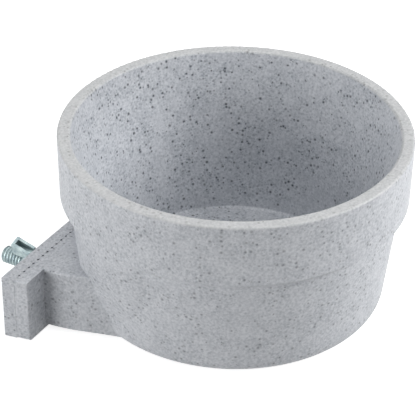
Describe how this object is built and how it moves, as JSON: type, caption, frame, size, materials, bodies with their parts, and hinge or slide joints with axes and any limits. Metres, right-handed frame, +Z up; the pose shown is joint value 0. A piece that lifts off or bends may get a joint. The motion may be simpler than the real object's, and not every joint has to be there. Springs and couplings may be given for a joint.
{
  "type": "seed cup",
  "caption": "Round straight-sided feeding cup with a thick rim band and a side bracket whose loose jaw is drawn up by a bolt and wing nut to grip cage bars.",
  "frame": {"origin": "centre of the underside of the bowl, on the surface that it stands on", "axes": "+Z up along the bowl's axis, +Y along the bolt towards the wing nut and the cage wall, X along the clamp jaws with the bracket at -X"},
  "size_m": [0.1354, 0.1322, 0.0673],
  "materials": {
    "speckled_plastic": "pale grey moulded plastic with fine dark specks, satin",
    "zinc_plate": "bright zinc plate with a faint blue tone"
  },
  "bodies": {
    "cup": {"cup_body": "speckled_plastic", "clamp_bolt": "zinc_plate"},
    "jaw": {"rear_jaw": "speckled_plastic"},
    "nut": {"wing_nut": "zinc_plate"}
  },
  "joints": [
    {"name": "jaw_slide", "type": "slide", "parent": "cup", "child": "jaw", "axis": [0, 1, 0], "range_m": [0, 0.006]},
    {"name": "nut_turn", "type": "hinge", "parent": "jaw", "child": "nut", "pos_m": [-0.04994, 0.0586, 0.0184], "axis": [0, 1, 0], "range_deg": [0, 1702]}
  ],
  "couplings": [
    {"joint": "nut_turn", "follows": "jaw_slide", "rad_per_m": 4947.4}
  ]
}
